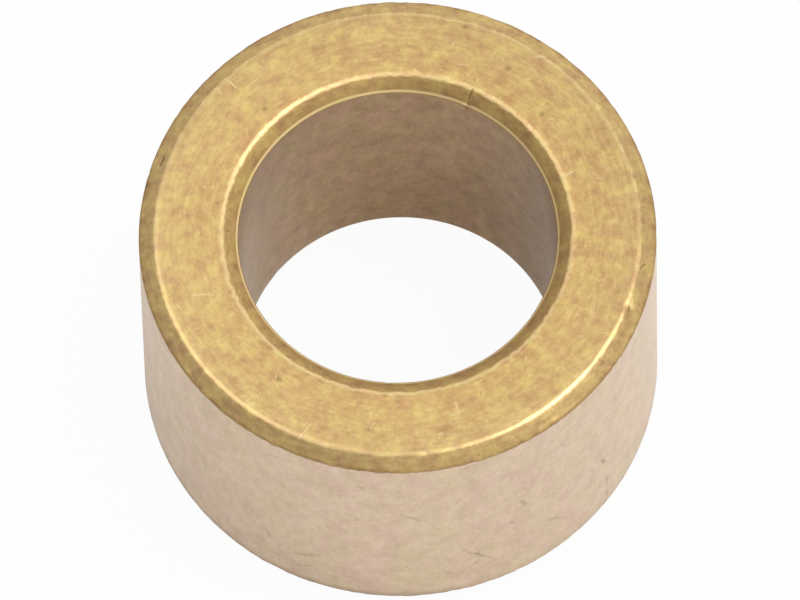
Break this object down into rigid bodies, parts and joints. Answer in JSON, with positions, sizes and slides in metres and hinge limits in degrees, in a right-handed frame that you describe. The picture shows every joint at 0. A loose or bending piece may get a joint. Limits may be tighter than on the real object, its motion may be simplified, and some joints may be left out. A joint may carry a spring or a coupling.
{
  "type": "sleeve bushing",
  "caption": "Plain straight sleeve bushing in bronze, chamfered at the bore and outer edges of both ends, pressed into a housing to carry a turning shaft.",
  "frame": {"origin": "centre of the lower end face, on the axis of the bore", "axes": "+Z along the bore towards the upper end face; X and Y are any pair across it, since the bushing is round"},
  "size_m": [0.0206, 0.0206, 0.0127],
  "materials": {
    "bronze": "satin"
  },
  "bodies": {
    "root": {"bushing": "bronze"}
  },
  "joints": []
}
